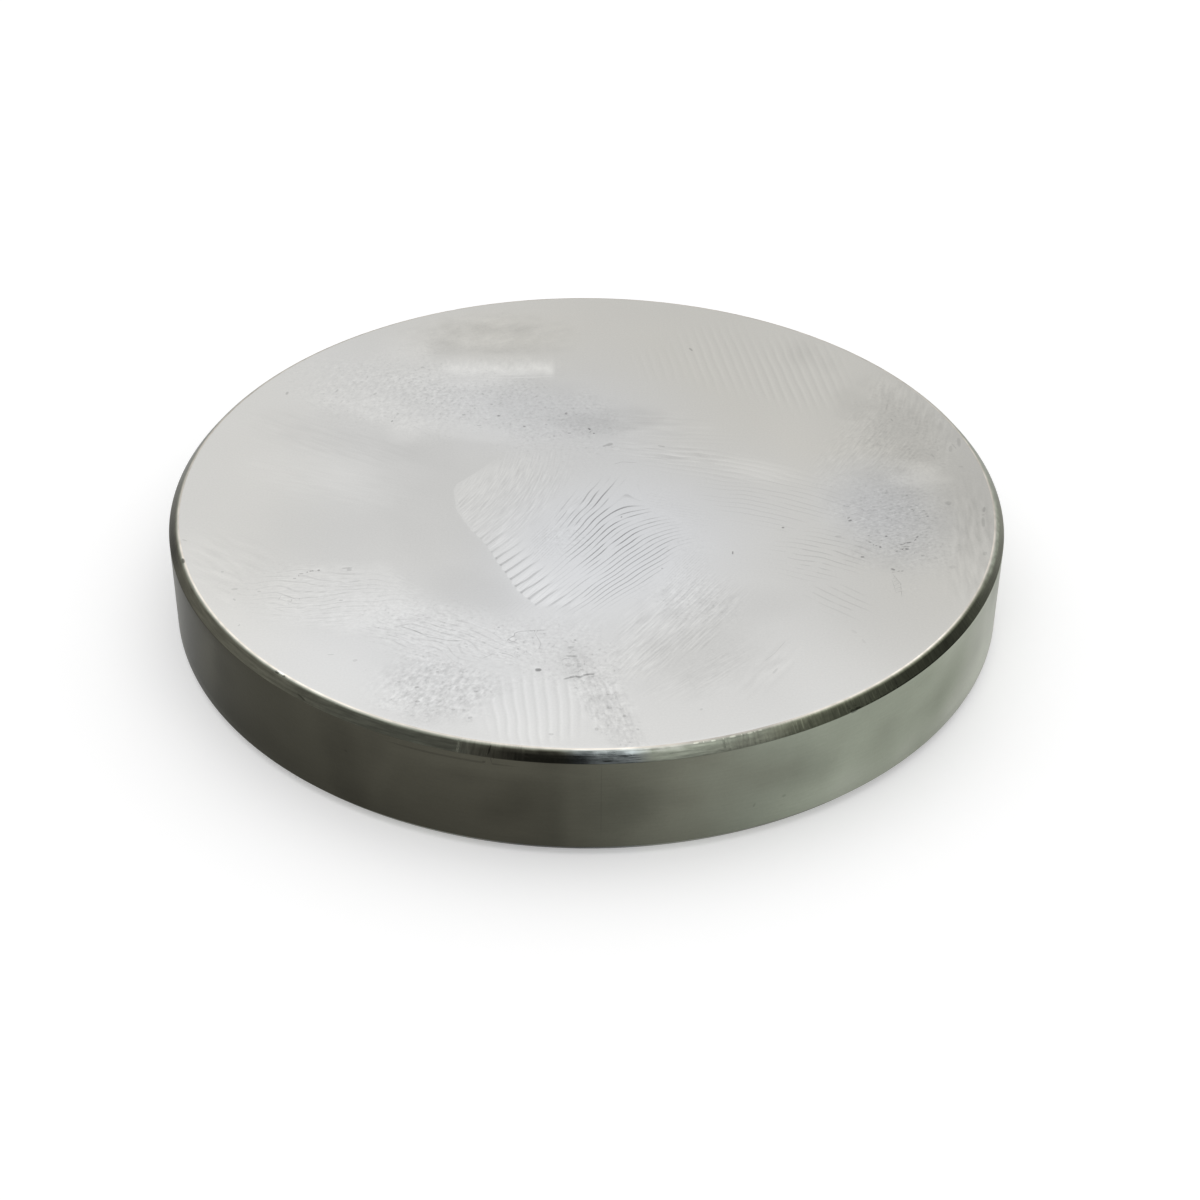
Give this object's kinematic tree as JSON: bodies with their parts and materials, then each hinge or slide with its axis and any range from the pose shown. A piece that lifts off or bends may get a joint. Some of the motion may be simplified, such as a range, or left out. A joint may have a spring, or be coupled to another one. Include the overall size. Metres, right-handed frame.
{
  "type": "disc magnet",
  "caption": "Flat round sintered magnet, nickel plated, with a narrow bevel round each pole face, for holding, latching and bench use.",
  "frame": {"origin": "centre of the lower pole face, where the disc rests", "axes": "+Z along the disc's axis, from the lower pole face to the upper one"},
  "size_m": [0.044, 0.044, 0.006],
  "materials": {
    "nickel_plating": "satin nickel plating over ground faces, with fine grinding lines, small pits and a darker smooth wall"
  },
  "bodies": {
    "root": {"magnet_disc": "nickel_plating"}
  },
  "joints": []
}
